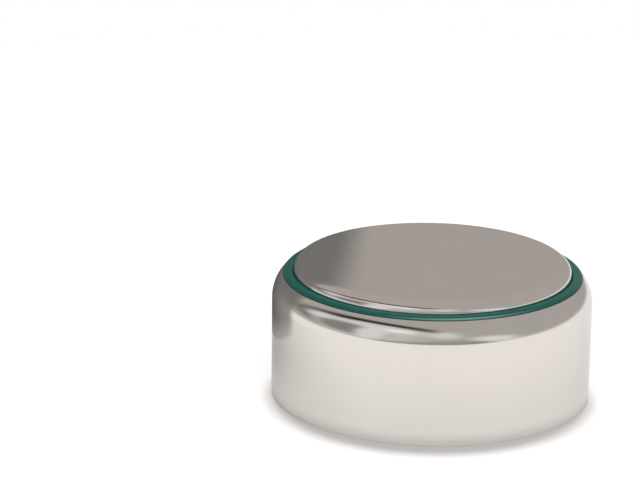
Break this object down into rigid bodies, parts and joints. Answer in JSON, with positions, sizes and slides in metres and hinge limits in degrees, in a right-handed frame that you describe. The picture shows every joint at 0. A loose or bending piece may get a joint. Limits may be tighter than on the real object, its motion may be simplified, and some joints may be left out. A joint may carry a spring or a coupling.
{
  "type": "alkaline button cell",
  "caption": "Flat round button cell: a drawn steel can crimped at its rim over a coloured sealing ring, with a raised flat cap as the other contact.",
  "frame": {"origin": "centre of the flat positive face, which the cell lies on", "axes": "+Z is the axis of the cell, from the positive face up to the face of the cap; X and Y lie in the positive face"},
  "size_m": [0.0116, 0.0116, 0.005],
  "materials": {
    "can_nickel": "satin nickel plate",
    "seal_nylon": "moulded",
    "cap_nickel": "satin nickel clad",
    "manganese_tablet": "pressed powder",
    "separator": "film",
    "pad_fibre": "non-woven",
    "zinc_gel": "wet powder"
  },
  "bodies": {
    "root": {"positive_can": "can_nickel", "sealing_gasket": "seal_nylon", "negative_cap": "cap_nickel", "cathode_tablet": "manganese_tablet", "separator_film": "separator", "absorbent_pad": "pad_fibre", "zinc_gel": "zinc_gel"}
  },
  "joints": []
}
